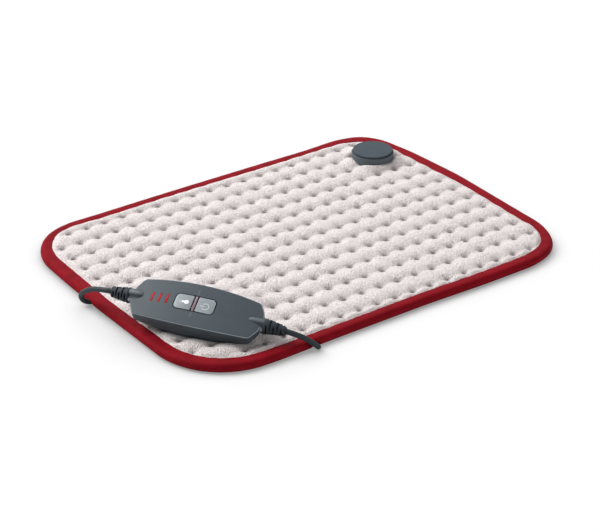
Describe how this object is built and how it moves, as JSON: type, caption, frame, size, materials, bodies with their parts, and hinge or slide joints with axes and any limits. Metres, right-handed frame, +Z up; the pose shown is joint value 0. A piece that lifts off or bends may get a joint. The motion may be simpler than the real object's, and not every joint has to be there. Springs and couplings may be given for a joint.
{
  "type": "heating pad with controller",
  "caption": "Quilted fleece heating pad with a rounded bound edge, a round coupling on one corner and a corded hand controller with push buttons lying across another corner.",
  "frame": {"origin": "on the floor under the middle of the pad", "axes": "+X along the pad's long side, from the controller's side to the coupling's side; +Y along the short side, away from the controller's corner; +Z up"},
  "size_m": [0.4545, 0.3404, 0.0464],
  "materials": {
    "fleece": "matt, brushed",
    "tape": "matt, woven",
    "carrier_cloth": "matt",
    "heater_cover": "matt",
    "slate_plastic": "fine satin",
    "dark_plastic": "fine satin",
    "cord_rubber": "matt",
    "button_plastic": "satin",
    "red_lens": "gloss",
    "strip_lens": "gloss",
    "board": "satin",
    "black_part": "satin",
    "blue_part": "satin",
    "clear_part": "clear",
    "brass": "bright",
    "steel": "bright",
    "strap": "matt"
  },
  "bodies": {
    "pad": {"top_cover": "fleece", "edge_binding": "tape", "heater_carrier": "carrier_cloth", "bottom_cover": "fleece", "heating_wire": "heater_cover", "temperature_sensor": "black_part", "coupling_base": "dark_plastic", "coupling_cap": "slate_plastic", "coupling_board": "board", "thermal_fuse": "blue_part", "terminal_contact_1": "brass", "terminal_contact_2": "brass", "coupling_screw_1": "steel", "coupling_screw_2": "steel", "controller_top_shell": "slate_plastic", "controller_bottom_shell": "dark_plastic", "divider_light": "strip_lens", "circuit_board": "board", "heat_switch": "black_part", "power_switch": "black_part", "left_strain_relief": "cord_rubber", "right_strain_relief": "cord_rubber", "mains_fuse": "clear_part", "triac": "black_part", "capacitor": "blue_part", "level_light_1": "red_lens", "level_light_2": "red_lens", "level_light_3": "red_lens", "level_led_1": "clear_part", "level_led_2": "clear_part", "level_led_3": "clear_part", "housing_screw_1": "steel", "housing_screw_2": "steel", "housing_screw_3": "steel", "housing_screw_4": "steel", "pad_lead": "cord_rubber", "mains_lead": "cord_rubber", "mains_coil": "cord_rubber", "mains_tail": "cord_rubber", "coil_tie": "strap", "plug_body": "cord_rubber", "plug_pin_1": "steel", "plug_pin_2": "steel", "plug_strain_relief": "cord_rubber"},
    "heat_key": {"heat_button": "button_plastic", "heat_plunger": "black_part"},
    "power_key": {"power_button": "button_plastic", "power_plunger": "black_part"}
  },
  "joints": [
    {"name": "heat_press", "type": "slide", "parent": "pad", "child": "heat_key", "axis": [0.3191, 0.2977, -0.8998], "range_m": [0, 0.0007], "stiffness_N_per_m": 600, "springref_m": -0.0015},
    {"name": "power_press", "type": "slide", "parent": "pad", "child": "power_key", "axis": [0.3191, 0.2977, -0.8998], "range_m": [0, 0.0007], "stiffness_N_per_m": 600, "springref_m": -0.0015}
  ]
}
